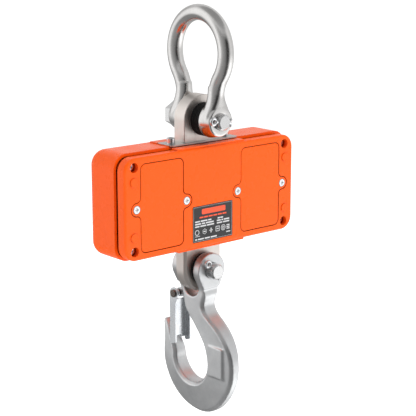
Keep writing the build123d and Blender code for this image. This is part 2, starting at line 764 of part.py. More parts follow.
def make_bezel():
    """The front panel that holds the window in and surrounds the buttons."""
    with BuildPart() as bezel:
        with BuildSketch(depth_plane(FRONT_Y + 1.0)):
            RectangleRounded(188.0, 78.0, 6.0)
        extrude(amount=1.2)
        fillet(bezel.faces().sort_by(Axis.Y)[0].edges(), 0.4)
        with BuildSketch(depth_plane(FRONT_Y + 1.5, WINDOW_Z)):
            RectangleRounded(140.0, 34.0, 2.5)
        extrude(amount=3.0, mode=Mode.SUBTRACT)
        with BuildSketch(depth_plane(FRONT_Y + 1.5, BUTTON_Z)):
            with Locations(*[(x, 0) for x in BUTTON_X.values()]):
                Circle(6.3)
            with Locations((84.0, 0)):
                Circle(2.6)
        extrude(amount=3.0, mode=Mode.SUBTRACT)
    save(bezel, "front_bezel")


def make_buttons():
    """Push buttons: a domed cap, a flange behind the wall and a stem over its switch."""
    wall_in = FRONT_Y + 3.5
    stem_end = BOARD_Y - BOARD_T - SWITCH_T - BUTTON_TRAVEL - 0.2
    for name, x in BUTTON_X.items():
        with BuildPart() as button:
            with BuildSketch(depth_plane(wall_in + 0.2, BUTTON_Z)):
                with Locations((x, 0)):
                    Circle(6.0)
            extrude(amount=wall_in + 0.2 - FRONT_Y + 1.8)
            fillet(button.faces().sort_by(Axis.Y)[0].edges(), 1.0)
            with BuildSketch(depth_plane(wall_in + 1.2, BUTTON_Z)):
                with Locations((x, 0)):
                    Circle(7.6)
            extrude(amount=1.1)
            with BuildSketch(depth_plane(stem_end, BUTTON_Z)):
                with Locations((x, 0)):
                    Circle(2.4)
            extrude(amount=stem_end - wall_in - 0.5)
        save(button, name)


def make_switches():
    """Tact switches on the board's front face, one behind each button."""
    front = BOARD_Y - BOARD_T
    spots = [(x, 0) for x in BUTTON_X.values()]
    with BuildPart() as switches:
        with BuildSketch(depth_plane(front, BUTTON_Z)):
            with Locations(*spots):
                Rectangle(6.2, 6.2)
        extrude(amount=SWITCH_T - 0.8)
        with BuildSketch(depth_plane(front - SWITCH_T + 0.8, BUTTON_Z)):
            with Locations(*spots):
                Circle(1.7)
        extrude(amount=0.8)
    save(switches, "button_switches")


def make_remote_eye():
    """The remote control's receiver on the board, and the lens in front of it."""
    with BuildPart() as receiver:
        with BuildSketch(depth_plane(BOARD_Y - BOARD_T, BUTTON_Z)):
            with Locations((84.0, 0)):
                Rectangle(6.0, 6.0)
        extrude(amount=5.0)
    save(receiver, "remote_receiver")
    with BuildPart() as lens:
        with BuildSketch(depth_plane(FRONT_Y + 3.3, BUTTON_Z)):
            with Locations((84.0, 0)):
                Circle(2.5)
        extrude(amount=3.6)
        fillet(lens.faces().sort_by(Axis.Y)[0].edges(), 0.6)
    save(lens, "receiver_lens")


def make_cable(name, points, radii, r):
    """An insulated lead along straight runs joined by arcs."""
    with BuildPart() as cable:
        with BuildLine():
            route = FilletPolyline(*points, radius=radii)
        with BuildSketch(Plane(origin=route @ 0, z_dir=route % 0)):
            Circle(r)
        sweep(path=route)
    save(cable, name)


def make_cables():
    plug_y = BOARD_Y + 5.0
    z = BODY_Z
    make_cable("cell_cable", [(19.0, 0, z - 6), (38.0, 0, z - 6), (38.0, plug_y, z - 6)], 6.0, 1.6)
    for name, x, up in (("battery_lead_left", 60.0, 24.0), ("battery_lead_right", -62.0, -24.0)):
        with BuildPart() as lead:
            with BuildSketch(depth_plane(2.4, z)):
                with Locations((x, up)):
                    Circle(1.0)
            extrude(amount=2.4 - plug_y)
        save(lead, name)


# ---- hook -------------------------------------------------------------------------------------
def hook_section(inner, outer, inner_half, outer_half):
    """One section across the hook's bar, from its inner edge to its thinner outer edge."""
    bevel_in, bevel_out, roll = 3.2, 2.9, 3.3
    start = Vector(0, inner[0], LOW_PIN_Z + inner[1])
    along = Vector(0, outer[0], LOW_PIN_Z + outer[1]) - start
    plane = Plane(origin=start, x_dir=along, z_dir=Vector(1, 0, 0).cross(along))
    length = along.length
    half = [(0, inner_half - bevel_in), (bevel_in, inner_half),
            (length - bevel_out, min(outer_half + roll, inner_half)), (length, outer_half)]
    with BuildSketch(plane) as section:
        with BuildLine():
            Polyline(*half, *[(u, -v) for u, v in reversed(half)], close=True)
        make_face()
    return section.sketch


def make_hook():
    """A forged clevis hook: two ears, a neck and a bowl whose bar is thick inside, thin outside."""
    bar = [
        ((-46.0, -65.0), (-52.8, -67.5), 4.2, 1.6), ((-40.5, -72.0), (-51.6, -73.5), 5.8, 2.2),
        ((-36.2, -80.0), (-50.3, -81.5), 7.0, 2.8), ((-32.0, -88.0), (-50.2, -90.0), 8.0, 3.2),
        ((-28.0, -97.3), (-50.6, -98.5), 8.8, 3.4), ((-27.4, -102.6), (-50.2, -107.4), 9.2, 3.4),
        ((-24.6, -110.1), (-45.6, -122.2), 9.6, 3.3), ((-18.9, -116.8), (-35.6, -136.8), 9.9, 3.2),
        ((-11.2, -121.3), (-20.7, -147.8), 10.1, 3.1), ((-2.5, -122.8), (-2.5, -153.4), 10.3, 3.0),
        ((6.2, -121.3), (17.4, -152.2), 10.3, 3.0), ((13.9, -116.8), (35.4, -142.5), 10.3, 3.0),
        ((19.6, -110.0), (48.8, -126.9), 10.3, 3.1), ((22.6, -101.7), (57.0, -107.8), 10.3, 3.3),
        ((22.4, -92.0), (57.6, -91.0), 10.3, 3.6), ((17.9, -77.5), (54.6, -78.6), 10.3, 4.3),
        ((10.2, -66.6), (48.6, -68.4), 10.3, 5.2), ((2.4, -58.0), (39.4, -58.6), 10.3, 6.0),
        ((-5.2, -50.5), (28.0, -50.6), 10.3, 6.6), ((-10.8, -43.5), (20.2, -44.4), 10.3, 6.8),
        ((-13.2, -37.0), (17.0, -37.6), 10.2, 6.8), ((-14.8, -30.5), (18.6, -30.8), 10.1, 7.1),
        ((-17.6, -24.5), (20.0, -24.5), 10.0, 8.3), ((-20.4, -18.0), (20.9, -18.0), 10.8, 10.4)]
    ear_y, slot_r = HOOK_EAR_Y[1], HOOK_EAR_Y[0]
    with BuildPart() as hook:
        for station in bar:
            add(hook_section(*station))
        loft()
        with BuildSketch(depth_plane(ear_y, LOW_PIN_Z)):
            Circle(HOOK_EAR_R)
            with BuildLine():
                Polyline((-15.8, -7.5), (15.8, -7.5), (10.6, -18.0), (-10.6, -18.0), close=True)
            make_face()
        extrude(amount=2 * ear_y)
        with BuildSketch(side_plane(-30.0, LOW_PIN_Z)):
            with Locations((0, -17.8)):
                Circle(slot_r)
            with Locations((0, 5.0)):
                Rectangle(2 * slot_r, 50.0)
        extrude(amount=60.0, mode=Mode.SUBTRACT)
        with BuildSketch(level_plane(LOW_PIN_Z - 75.8)):
            pad = [(10.3, 27.0), (10.3, 46.6), (6.6, 49.8)]
            Polygon(*pad, *[(-x, y) for x, y in reversed(pad)], align=None)
        extrude(amount=-32.0)
        with BuildSketch(side_plane(-4.0, LOW_PIN_Z)):
            with Locations(LATCH_PIVOT):
                Circle(5.0)
            with Locations((-19.5, -32.0)):
                Rectangle(14.0, 9.0)
        extrude(amount=8.0)
        with BuildSketch(side_plane(-5.0, LOW_PIN_Z)):
            with Locations(LATCH_PIVOT):
                Circle(2.55)
        extrude(amount=10.0, mode=Mode.SUBTRACT)
        with BuildSketch(depth_plane(60.0, LOW_PIN_Z)):
            Circle(PIN_R + 0.05)
        extrude(amount=120.0, mode=Mode.SUBTRACT)
    save(hook, "hook")


def make_latch():
    """A sheet-metal channel: a web against the tip's inner side and a flange on each side of it."""
    inner, outer = 8.9, 10.6
    web_out, web_in, edge = -33.2, -31.6, -24.4
    with BuildPart() as latch:
        for x in (inner, -outer):
            with BuildSketch(side_plane(x, LOW_PIN_Z)):
                with Locations(LATCH_PIVOT):
                    Circle(6.4)
                with BuildLine():
                    Polyline((web_out, -36.0), (web_out, -84.0), (-32.6, -87.6), (-29.5, -88.4),
                             (edge, -86.0), (edge, -44.5), (-21.4, -38.0), (-23.0, -33.0), close=True)
                make_face()
                with Locations(LATCH_PIVOT):
                    Circle(2.6, mode=Mode.SUBTRACT)
            extrude(amount=outer - inner)
        with BuildSketch(depth_plane(web_in, LOW_PIN_Z)):
            with BuildLine():
                Polyline((-outer, -42.0), (outer, -42.0), (outer, -84.0), (4.0, -84.6), (2.5, -81.5),
                         (-2.5, -81.5), (-4.0, -84.6), (-outer, -84.0), close=True)
            make_face()
        extrude(amount=web_in - web_out)
    save(latch, "latch")


def make_latch_rivet():
    with BuildPart() as rivet:
        with BuildSketch(side_plane(-12.2, LOW_PIN_Z)):
            with Locations(LATCH_PIVOT):
                Circle(2.5)
        extrude(amount=24.4)
        for x in (10.7, -12.2):
            with BuildSketch(side_plane(x, LOW_PIN_Z)):
                with Locations(LATCH_PIVOT):
                    Circle(4.2)
            extrude(amount=1.5)
        fillet(rivet.faces().sort_by(Axis.X)[0].edges(), 0.7)
        fillet(rivet.faces().sort_by(Axis.X)[-1].edges(), 0.7)
    save(rivet, "latch_rivet")


def make_latch_spring():
    """The latch's return spring: a coil on the rivet at each side of the hook's lug."""
    with BuildPart() as spring:
        for x in (4.9, -8.2):
            with BuildLine():
                coil = Helix(pitch=1.25, height=3.3, radius=3.6, center=(x, LATCH_PIVOT[0], LOW_PIN_Z + LATCH_PIVOT[1]),
                             direction=(1, 0, 0))
            with BuildSketch(Plane(origin=coil @ 0, z_dir=coil % 0)):
                Circle(0.5)
            sweep(path=coil)
    save(spring, "latch_spring")


def main():
    make_shackle_bow()
    make_pin("shackle_pin", PIN_Z, 40.5, -29.1, 13.4, 9.6, 37.6, 82, hexagon=True)
    make_split_pin("shackle_split_pin", PIN_Z, 37.6, 82)
    make_spacers("shackle_spacers", PIN_Z, 18.9, -12.9, 16.5)
    make_load_cell()
    make_gauges()
    make_pocket_covers()
    make_front_shell()
    make_rear_shell()
    make_shell_gasket()
    make_housing_screws()
    make_battery_cover("battery_cover_left", 1)
    make_battery_cover("battery_cover_right", -1)
    make_cover_gaskets()
    make_cover_screws()
    make_plate("top_plate", 1)
    make_plate("bottom_plate", -1)
    make_plate_seals()
    make_plate_screws()
    make_cell_screws()
    for name, side in (("left", 1), ("right", -1)):
        make_tray("battery_tray_" + name, side)
        make_cells("battery_cells_" + name, side)
    make_contacts()
    make_contact_springs()
    make_label()
    make_board()
    make_board_parts()
    make_board_screws()
    make_buzzer()
    make_display()
    make_digits()
    make_window()
    make_window_gasket()
    make_bezel()
    make_buttons()
    make_switches()
    make_remote_eye()
    make_cables()
    make_hook()
    make_pin("hook_pin", LOW_PIN_Z, 31.0, -21.1, 11.0, 5.5, 25.6, 45)
    make_split_pin("hook_split_pin", LOW_PIN_Z, 25.6, 45)
    make_spacers("hook_spacers", LOW_PIN_Z, 11.9, -11.9, 16.0)
    make_latch()
    make_latch_rivet()
    make_latch_spring()


main()
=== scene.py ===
"""Looks for the hanging crane scale: materials, finer meshes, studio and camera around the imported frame."""
import json
import math

import bmesh
import bpy
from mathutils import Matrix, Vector


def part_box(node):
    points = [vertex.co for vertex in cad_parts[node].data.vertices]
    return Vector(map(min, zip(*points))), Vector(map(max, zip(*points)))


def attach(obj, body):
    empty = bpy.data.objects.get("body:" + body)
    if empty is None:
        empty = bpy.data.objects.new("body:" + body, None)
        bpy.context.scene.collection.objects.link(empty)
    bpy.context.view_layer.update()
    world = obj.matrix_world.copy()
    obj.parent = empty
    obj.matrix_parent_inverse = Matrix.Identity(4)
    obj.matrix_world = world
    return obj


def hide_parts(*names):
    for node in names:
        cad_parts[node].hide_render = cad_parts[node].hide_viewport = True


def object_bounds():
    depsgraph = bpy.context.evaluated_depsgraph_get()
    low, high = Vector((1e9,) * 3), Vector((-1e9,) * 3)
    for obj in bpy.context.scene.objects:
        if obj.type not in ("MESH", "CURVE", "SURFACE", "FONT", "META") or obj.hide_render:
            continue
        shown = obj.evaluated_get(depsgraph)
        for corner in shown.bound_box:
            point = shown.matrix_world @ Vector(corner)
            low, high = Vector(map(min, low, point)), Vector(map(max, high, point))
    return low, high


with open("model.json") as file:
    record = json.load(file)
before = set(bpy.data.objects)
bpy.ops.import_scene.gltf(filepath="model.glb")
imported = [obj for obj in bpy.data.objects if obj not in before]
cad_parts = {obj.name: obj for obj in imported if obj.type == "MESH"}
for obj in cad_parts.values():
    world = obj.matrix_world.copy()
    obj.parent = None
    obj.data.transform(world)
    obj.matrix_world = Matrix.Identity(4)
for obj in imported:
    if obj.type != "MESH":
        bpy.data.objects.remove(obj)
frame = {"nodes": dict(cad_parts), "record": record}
CAD_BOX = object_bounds()
NODES = frame["nodes"]
MM = 0.001
FULL_TURN = 2 * math.pi

# ---------------------------------------------------------------- camera
LENS_MM = 112.5
SENSOR_MM = 36
CAMERA_TARGET = Vector((-0.0153, -0.0025, -0.1907))
CAMERA_DISTANCE = 1.3205
CAMERA_TURN = math.radians(40.85)
CAMERA_RISE = math.radians(13.18)


def make_camera():
    toward = Vector((
        math.sin(CAMERA_TURN) * math.cos(CAMERA_RISE),
        math.cos(CAMERA_TURN) * math.cos(CAMERA_RISE),
        math.sin(CAMERA_RISE),
    ))
    data = bpy.data.cameras.new("camera")
    data.lens = LENS_MM
    data.sensor_width = SENSOR_MM
    data.clip_start = 0.01
    data.clip_end = 100
    camera = bpy.data.objects.new("camera", data)
    bpy.context.scene.collection.objects.link(camera)
    camera.location = CAMERA_TARGET + toward * CAMERA_DISTANCE
    camera.rotation_euler = toward.to_track_quat("Z", "Y").to_euler()
    bpy.context.scene.camera = camera


# ---------------------------------------------------------------- node helpers
EDGE_FACING = (0.985, 0.80)
# Ambient occlusion levels over which the painted seam shade fades in.
CREVICE_OPENNESS = (0.70, 0.22)


def rgba(r, g, b):
    return (r, g, b, 1.0)


class Nodes:
    """A node tree with short calls for the nodes that are used most."""

    def __init__(self, owner):
        owner.use_nodes = True
        self.tree = owner.node_tree
        self.tree.nodes.clear()

    def add(self, kind, **settings):
        made = self.tree.nodes.new(kind)
        for name, value in settings.items():
            setattr(made, name, value)
        return made

    def link(self, source, target):
        self.tree.links.new(source, target)

    def feed(self, socket, value):
        if isinstance(value, bpy.types.NodeSocket):
            self.link(value, socket)
        else:
            socket.default_value = value

    def math(self, operation, *values):
        made = self.add("ShaderNodeMath", operation=operation)
        for socket, value in zip(made.inputs, values):
            self.feed(socket, value)
        return made.outputs[0]

    def spread(self, source, low, high, new_low, new_high):
        made = self.add("ShaderNodeMapRange")
        self.feed(made.inputs["Value"], source)
        for name, value in zip(("From Min", "From Max", "To Min", "To Max"), (low, high, new_low, new_high)):
            made.inputs[name].default_value = value
        return made.outputs[0]

    def blend(self, factor, a, b):
        made = self.add("ShaderNodeMix", data_type="RGBA")
        self.feed(made.inputs[0], factor)
        self.feed(made.inputs[6], a)
        self.feed(made.inputs[7], b)
        return made.outputs[2]

    def ramp(self, source, stops):
        """Greys that follow the source through stops of place and level."""
        made = self.add("ShaderNodeValToRGB")
        self.link(source, made.inputs[0])
        elements = made.color_ramp.elements
        while len(elements) < len(stops):
            elements.new(0.5)
        for element, (place, level) in zip(elements, stops):
            element.position = place
            element.color = rgba(level, level, level)
        return made.outputs[0]


class Graph(Nodes):
    """A material's node tree, round one Principled shader."""

    def __init__(self, material):
        super().__init__(material)
        output = self.add("ShaderNodeOutputMaterial")
        self.shader = self.add("ShaderNodeBsdfPrincipled")
        self.link(self.shader.outputs[0], output.inputs["Surface"])
        self.place = self.add("ShaderNodeTexCoord").outputs["Object"]

    def scaled(self, scale):
        mapping = self.add("ShaderNodeMapping")
        self.link(self.place, mapping.inputs["Vector"])
        mapping.inputs["Scale"].default_value = scale
        return mapping.outputs[0]

    def noise(self, scale, detail, rough=0.55, stretch=None):
        made = self.add("ShaderNodeTexNoise")
        self.link(self.scaled(stretch) if stretch else self.place, made.inputs["Vector"])
        made.inputs["Scale"].default_value = scale
        made.inputs["Detail"].default_value = detail
        made.inputs["Roughness"].default_value = rough
        return made.outputs["Fac"]

    def edge(self, radius):
        """A 0 to 1 mask of the crisp edges, and the rounded normal that finds them."""
        rounded = self.add("ShaderNodeBevel", samples=4)
        rounded.inputs["Radius"].default_value = radius
        plain = self.add("ShaderNodeNewGeometry").outputs["Normal"]
        dot = self.add("ShaderNodeVectorMath", operation="DOT_PRODUCT")
        self.link(rounded.outputs[0], dot.inputs[0])
        self.link(plain, dot.inputs[1])
        return self.spread(dot.outputs["Value"], *EDGE_FACING, 0.0, 1.0), rounded.outputs[0]

    def crevice_shade(self, reach):
        """A 0 to 1 mask of painted shade: ambient occlusion in seams and recesses narrower than reach."""
        occlusion = self.add("ShaderNodeAmbientOcclusion", samples=8)
        occlusion.inputs["Distance"].default_value = reach
        return self.spread(occlusion.outputs["AO"], *CREVICE_OPENNESS, 0.0, 1.0)

    def bump(self, height, distance, strength, normal=None):
        made = self.add("ShaderNodeBump")
        self.link(height, made.inputs["Height"])
        made.inputs["Distance"].default_value = distance
        made.inputs["Strength"].default_value = strength
        if normal is not None:
            self.link(normal, made.inputs["Normal"])
        self.link(made.outputs[0], self.shader.inputs["Normal"])

    def set(self, **values):
        for name, value in values.items():
            self.feed(self.shader.inputs[name.replace("_", " ")], value)


# ---------------------------------------------------------------- finishes
FINISHES = {}
# How far the ambient occlusion that paints shade into seams reaches.
SEAM_SHADE_REACH = 4 * MM
ORANGE_PEEL = 0.06 * MM
SMOOTH_SKIN = 0.01 * MM


def new_graph(slot):
    FINISHES[slot] = bpy.data.materials.new("finish_" + slot)
    return Graph(FINISHES[slot])


def coat(slot, colour, shade, edge_highlight, rough, orange_peel=ORANGE_PEEL, seam_shade=None):
    """Sprayed or moulded skin: soft colour drift, orange-peel bump, a painted highlight in paler patches on
    the edges, and painted shade in seams and recesses when a seam shade colour is given.
    """
    g = new_graph(slot)
    drift = g.noise(9.0, 3)
    mask, normal = g.edge(0.6 * MM)
    # Painted highlight: the edges turn to the paler edge colour, in patches broken up by noise.
    highlight_patches = g.math("MULTIPLY", mask, g.spread(g.noise(160, 4), 0.45, 0.7, 0.0, 0.35))
    skin = g.blend(highlight_patches, g.blend(drift, rgba(*colour), rgba(*shade)), rgba(*edge_highlight))
    # Painted shade: seams and recesses found by ambient occlusion turn to the dark seam shade colour.
    g.set(Base_Color=g.blend(g.crevice_shade(SEAM_SHADE_REACH), skin, rgba(*seam_shade)) if seam_shade else skin)
    g.set(Roughness=g.spread(g.noise(60, 4), 0.3, 0.7, rough - 0.05, rough + 0.06))
    g.bump(g.noise(1500, 2), orange_peel, 0.35, normal)
    return g


def metal(slot, colour, shade, edge_highlight, rough, grain, depth, stretch=None, mottling=12.0, edge=0.4 * MM):
    """Bare or plated metal: tone drift, directional or cast grain in bump and roughness, a painted highlight
    in brighter patches on the edges.
    """
    g = new_graph(slot)
    drift = g.spread(g.noise(mottling, 5, 0.6), 0.3, 0.7, 0.0, 1.0)
    mask, normal = g.edge(edge)
    # Painted highlight: the edges turn to the brighter edge colour, in patches broken up by noise.
    highlight_patches = g.math("MULTIPLY", mask, g.spread(g.noise(220, 4), 0.35, 0.65, 0.1, 0.8))
    g.set(Base_Color=g.blend(highlight_patches, g.blend(drift, rgba(*colour), rgba(*shade)), rgba(*edge_highlight)), Metallic=1.0)
    lines = g.noise(grain, 4, 0.6, stretch)
    g.set(Roughness=g.spread(lines, 0.3, 0.7, rough - 0.07, rough + 0.09))
    g.bump(lines, depth, 0.5, normal)
    return g


def make_finishes():
    """One procedural finish for each material slot of the record, and a few for single pieces.

    Colours are the main tone, the tone that it drifts to, and the painted highlight on the edges.
    """
    # The orange coat's dark seam colour is painted shade for its seams and recesses.
    g = coat("orange_coat", (0.90, 0.095, 0.003), (0.94, 0.108, 0.004), (1.0, 0.24, 0.07), rough=0.27,
             seam_shade=(0.16, 0.008, 0.001))
    g.set(Specular_IOR_Level=0.22)
    coat("gasket_cord", (0.30, 0.035, 0.006), (0.36, 0.045, 0.009), (0.2, 0.05, 0.02), rough=0.6)
    metal("satin_stainless", (0.70, 0.69, 0.68), (0.61, 0.60, 0.59), (0.8, 0.8, 0.79),
          rough=0.19, grain=420, depth=0.03 * MM, mottling=26)
    metal("pin_steel", (0.74, 0.74, 0.74), (0.64, 0.64, 0.64), (0.9, 0.9, 0.9),
          rough=0.24, grain=1100, depth=0.03 * MM, stretch=(1, 0.12, 1))
    metal("rivet_dark", (0.20, 0.17, 0.15), (0.14, 0.12, 0.11), (0.5, 0.45, 0.42),
          rough=0.25, grain=900, depth=0.02 * MM, mottling=80)
    metal("bright_zinc", (0.86, 0.87, 0.88), (0.76, 0.77, 0.79), (0.95, 0.95, 0.95),
          rough=0.2, grain=900, depth=0.01 * MM, mottling=90, edge=0.2 * MM)
    metal("cell_nickel", (0.80, 0.75, 0.71), (0.73, 0.68, 0.64), (0.9, 0.87, 0.84),
          rough=0.42, grain=1400, depth=0.03 * MM, stretch=(1, 1, 0.08), mottling=18)
    metal("galvanised", (0.74, 0.75, 0.755), (0.64, 0.65, 0.66), (0.78, 0.79, 0.8),
          rough=0.42, grain=700, depth=0.1 * MM, mottling=70, edge=0.9 * MM)
    metal("latch_zinc", (0.80, 0.82, 0.84), (0.68, 0.71, 0.74), (0.92, 0.92, 0.92),
          rough=0.26, grain=800, depth=0.02 * MM, stretch=(1, 1, 0.15), mottling=60)
    metal("plate_steel", (0.60, 0.60, 0.59), (0.52, 0.52, 0.51), (0.8, 0.8, 0.8),
          rough=0.34, grain=1200, depth=0.02 * MM, stretch=(0.08, 1, 1), mottling=30)
    metal("contact_plate", (0.75, 0.74, 0.70), (0.66, 0.65, 0.61), (0.75, 0.74, 0.70),
          rough=0.3, grain=900, depth=0.01 * MM)
    metal("gauge_foil", (0.72, 0.42, 0.20), (0.62, 0.34, 0.15), (0.72, 0.42, 0.20),
          rough=0.35, grain=2200, depth=0.01 * MM)
    coat("black_polymer", (0.012, 0.012, 0.012), (0.02, 0.02, 0.02), (0.07, 0.07, 0.07), rough=0.5)
    g = coat("spacer_ribs", (0.005, 0.005, 0.005), (0.008, 0.008, 0.008), (0.03, 0.03, 0.03), rough=0.55)
    g.set(Specular_IOR_Level=0.25)
    ribs = g.add("ShaderNodeTexWave", bands_direction="Y")
    g.link(g.place, ribs.inputs["Vector"])
    ribs.inputs["Scale"].default_value = 190
    g.bump(ribs.outputs["Fac"], 0.4 * MM, 0.9)
    coat("rubber_seal", (0.015, 0.015, 0.016), (0.026, 0.026, 0.027), (0.06, 0.06, 0.06), rough=0.7)
    coat("label_film", (0.012, 0.012, 0.0135), (0.018, 0.018, 0.02), (0.2, 0.2, 0.2), rough=0.34,
         orange_peel=0.02 * MM)
    coat("bezel_film", (0.02, 0.021, 0.023), (0.03, 0.031, 0.033), (0.12, 0.12, 0.12), rough=0.4,
         orange_peel=0.04 * MM)
    coat("key_grey", (0.36, 0.37, 0.38), (0.42, 0.43, 0.44), (0.6, 0.6, 0.6), rough=0.5)
    coat("board_green", (0.01, 0.10, 0.035), (0.015, 0.14, 0.05), (0.3, 0.3, 0.2), rough=0.35)
    coat("chip_black", (0.01, 0.01, 0.011), (0.02, 0.02, 0.021), (0.1, 0.1, 0.1), rough=0.45)
    coat("cell_jacket", (0.02, 0.05, 0.14), (0.03, 0.07, 0.19), (0.3, 0.35, 0.4), rough=0.3)
    coat("cable_sleeve", (0.10, 0.10, 0.11), (0.14, 0.14, 0.15), (0.3, 0.3, 0.3), rough=0.55)
    g = coat("dark_lens", (0.05, 0.006, 0.008), (0.07, 0.009, 0.011), (0.2, 0.05, 0.05), rough=0.12,
             orange_peel=SMOOTH_SKIN)
    g.set(Coat_Weight=0.6)
    g = coat("smoked_window", (0.26, 0.03, 0.03), (0.30, 0.04, 0.04), (0.4, 0.1, 0.1), rough=0.08,
             orange_peel=SMOOTH_SKIN)
    g.set(Transmission_Weight=0.85, IOR=1.49)
    g = coat("led_red", (0.75, 0.02, 0.01), (0.9, 0.03, 0.015), (1.0, 0.2, 0.1), rough=0.4,
             orange_peel=SMOOTH_SKIN)
    g.set(Emission_Strength=2.4, Emission_Color=rgba(1.0, 0.05, 0.02))
    coat("print_orange", (0.85, 0.07, 0.02), (0.95, 0.10, 0.03), (1.0, 0.3, 0.2), rough=0.45,
         orange_peel=SMOOTH_SKIN)
    coat("print_pale", (0.62, 0.62, 0.63), (0.74, 0.74, 0.75), (0.9, 0.9, 0.9), rough=0.5,
         orange_peel=SMOOTH_SKIN)


def slot_of_nodes():
    """Node name -> material slot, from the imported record."""
    return {entry["node"]: entry["material_slot"] for entry in frame["record"]["subparts"]}


# ---------------------------------------------------------------- studio
FLOOR_DROP = 0.35
FLOOR_HALF = 30
FLOOR_GLOW = 0.62
# The sky lights the object at the first level, and is as white as the floor where the camera sees it.
SKY_LEVEL, SEEN_SKY_LEVEL = 0.52, 1.0
WHITE = rgba(1, 1, 1)
# Brightness round the room as the metal sees it: degrees from +X turning to +Y, the level at eye height
# and the level below it.
ROOM = (
    (0, 0.48, 0.40), (26, 0.34, 0.34), (48, 0.22, 0.26), (66, 0.05, 0.10), (90, 0.03, 0.10),
    (106, 0.50, 0.80), (122, 0.95, 1.80), (145, 0.85, 1.80), (175, 0.78, 1.15), (205, 0.80, 0.60),
    (240, 0.75, 0.45), (275, 0.50, 0.25), (296, 1.20, 0.30), (330, 1.30, 0.34), (347, 0.70, 0.40),
    (360, 0.48, 0.40),
)
ROOM_PEAK = 1.8
# Heights of a ray's direction, from -1 straight down to 1 straight up: where the low levels end, where the
# eye-height levels start, and the stretch over which the ceiling takes over.
ROOM_LOW, ROOM_HIGH = -0.42, -0.10
CEILING_START, CEILING_FULL = 0.45, 0.8
# The ceiling's own levels by height.
CEILING = ((0.0, 0.75), (0.35, 1.15), (0.62, 0.95), (0.82, 0.42), (1.0, 0.36))
# Name, place, width and height in metres, power in watts. All aim at the camera's target.
LIGHTS = (
    ("key_light", (-0.9, 2.0, 1.0), (1.4, 1.4), 24),
    ("side_light", (2.2, 0.4, 0.5), (1.0, 1.6), 5),
    ("top_light", (0.2, 0.2, 2.0), (1.6, 1.6), 18),
    ("back_light", (-0.6, -2.2, 0.9), (1.6, 1.2), 16),
)


def make_floor():
    mesh = bpy.data.meshes.new("floor")
    bm = bmesh.new()
    bmesh.ops.create_grid(bm, x_segments=8, y_segments=8, size=FLOOR_HALF)
    bm.to_mesh(mesh)
    bm.free()
    floor = bpy.data.objects.new("floor", mesh)
    bpy.context.scene.collection.objects.link(floor)
    floor.location.z = CAD_BOX[0][2] - FLOOR_DROP
    material = bpy.data.materials.new("floor_paper")
    g = Graph(material)
    g.set(Base_Color=g.blend(g.noise(0.8, 2), rgba(0.93, 0.93, 0.93), rgba(0.96, 0.96, 0.96)), Roughness=0.9)
    g.set(Emission_Color=WHITE, Emission_Strength=FLOOR_GLOW)
    mesh.materials.append(material)
    floor.visible_glossy = False


def make_world():
    """White all round for diffuse light and for the camera, and a room of light and dark for reflections."""
    world = bpy.data.worlds.new("studio")
    bpy.context.scene.world = world
    g = Nodes(world)
    output = g.add("ShaderNodeOutputWorld")
    place = g.add("ShaderNodeTexCoord")
    split = g.add("ShaderNodeSeparateXYZ")
    g.link(place.outputs["Generated"], split.inputs[0])
    x, y, z = split.outputs
    turn = g.math("DIVIDE", g.math("WRAP", g.math("ARCTAN2", y, x), FULL_TURN, 0.0), FULL_TURN)
    at_eye, below = (
        g.ramp(turn, [(spot[0] / 360, spot[level] / ROOM_PEAK) for spot in ROOM]) for level in (1, 2))
    around = g.blend(g.spread(z, ROOM_LOW, ROOM_HIGH, 1.0, 0.0), at_eye, below)
    above = g.ramp(z, [(height, level / ROOM_PEAK) for height, level in CEILING])
    room = g.add("ShaderNodeBackground")
    g.link(g.blend(g.spread(z, CEILING_START, CEILING_FULL, 0.0, 1.0), around, above), room.inputs[0])
    room.inputs[1].default_value = ROOM_PEAK
    path = g.add("ShaderNodeLightPath")
    plain = g.add("ShaderNodeBackground")
    plain.inputs[0].default_value = WHITE
    g.link(g.spread(path.outputs["Is Camera Ray"], 0.0, 1.0, SKY_LEVEL, SEEN_SKY_LEVEL), plain.inputs[1])
    mix = g.add("ShaderNodeMixShader")
    g.link(path.outputs["Is Glossy Ray"], mix.inputs[0])
    g.link(plain.outputs[0], mix.inputs[1])
    g.link(room.outputs[0], mix.inputs[2])
    g.link(mix.outputs[0], output.inputs[0])


def make_lights():
    for name, place, size, power in LIGHTS:
        data = bpy.data.lights.new(name, "AREA")
        data.shape = "RECTANGLE"
        data.size, data.size_y = size
        data.energy = power
        light = bpy.data.objects.new(name, data)
        bpy.context.scene.collection.objects.link(light)
        light.location = place
        light.rotation_euler = (Vector(place) - CAMERA_TARGET).to_track_quat("Z", "Y").to_euler()
        light.visible_glossy = False


def dress_nodes():
    slots = slot_of_nodes()
    for name, piece in NODES.items():
        piece.data.materials.clear()
        piece.data.materials.append(FINISHES[slots[name]])
    NODES["shell_gasket"].data.materials[0] = FINISHES["gasket_cord"]
    NODES["latch_rivet"].data.materials[0] = FINISHES["rivet_dark"]
    for name in ("shackle_spacers", "hook_spacers"):
        NODES[name].data.materials[0] = FINISHES["spacer_ribs"]


# ---------------------------------------------------------------- finer pieces
EAR_OFFSET = 24 * MM
FLARE_SIDES = 48
# The shackle's flare, in mm: height over the pin, half-width, half-depth, and squareness, where 2 is round.
FLARE = (
    (3, 15.6, 7.3, 3.4), (6, 15.4, 7.4, 3.4), (9, 14.3, 7.6, 3.2), (12, 12.9, 7.75, 3.0),
    (15, 11.4, 7.85, 2.8), (18, 10.1, 7.9, 2.55), (21, 9.1, 7.95, 2.35), (25, 8.35, 8.0, 2.15),
    (30, 8.05, 8.02, 2.0), (34, 8.0, 8.0, 2.0),
)
FORGING_VOXEL = 0.6 * MM
CORNER_STEPS = 4
RING_SIDES = 28
LABEL_LIFT = 0.06 * MM
KEY_MARK_LIFT = 0.08 * MM


